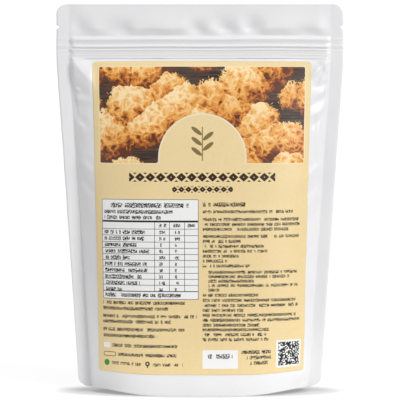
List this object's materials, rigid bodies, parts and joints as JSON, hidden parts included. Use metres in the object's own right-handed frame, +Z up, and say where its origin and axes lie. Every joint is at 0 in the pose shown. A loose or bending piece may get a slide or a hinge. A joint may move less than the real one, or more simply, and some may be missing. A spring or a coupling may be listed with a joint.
{
  "type": "stand-up zip pouch of dried snow fungus",
  "caption": "Filled stand-up pouch of white film with a press-to-close zip, welded side seals, a gusseted base and a printed front label.",
  "frame": {"origin": "centre of the bounding box at the height of the surface that the pouch stands on", "axes": "+Z up, from the base to the mouth; -Y out of the front, where the label is; +X to the right, seen from the front"},
  "size_m": [0.17, 0.0598, 0.23],
  "materials": {
    "laminate_film": "satin",
    "zip_plastic": "gloss",
    "label_paper": "satin",
    "dried_fungus": "matte"
  },
  "bodies": {
    "root": {"front_panel": "laminate_film", "back_panel": "laminate_film", "bottom_gusset": "laminate_film", "zip_rib_strip": "zip_plastic", "zip_groove_strip": "zip_plastic", "front_label": "label_paper", "dried_fungus_fill": "dried_fungus"}
  },
  "joints": []
}
